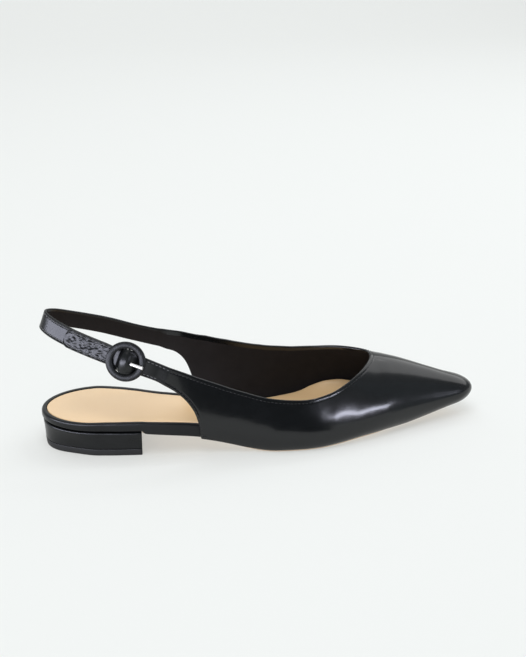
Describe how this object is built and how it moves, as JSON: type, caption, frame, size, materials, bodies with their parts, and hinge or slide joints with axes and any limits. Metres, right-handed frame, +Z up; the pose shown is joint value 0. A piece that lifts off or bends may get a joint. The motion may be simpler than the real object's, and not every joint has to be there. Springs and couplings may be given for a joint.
{
  "type": "slingback pump",
  "caption": "Flat pointed-toe slingback pump in polished black leather, with a buckled strap round the open heel, a tan sock, a thin leather sole and a low block heel.",
  "frame": {"origin": "middle of the underside of the bounding box, on the floor", "axes": "+X from the heel to the toe, +Y to the inner side of the foot, +Z up"},
  "size_m": [0.2682, 0.0762, 0.0843],
  "materials": {
    "upper_leather": "polished black",
    "strap_leather": "polished black",
    "wrapped_edge": "satin black, wrapped round the footbed",
    "sock_leather": "natural tan, matt",
    "sole_leather": "natural tan, burnished edge",
    "covered_heel": "satin black cover",
    "heel_rubber": "matt black",
    "buckle_cover": "semi-gloss black",
    "prong_metal": "polished nickel"
  },
  "bodies": {
    "root": {"upper": "upper_leather", "sling_strap": "strap_leather", "front_strap": "strap_leather", "buckle_frame": "buckle_cover", "buckle_prong": "prong_metal", "footbed": "wrapped_edge", "insole_sock": "sock_leather", "outsole": "sole_leather", "heel_block": "covered_heel", "heel_top_piece": "heel_rubber"}
  },
  "joints": []
}
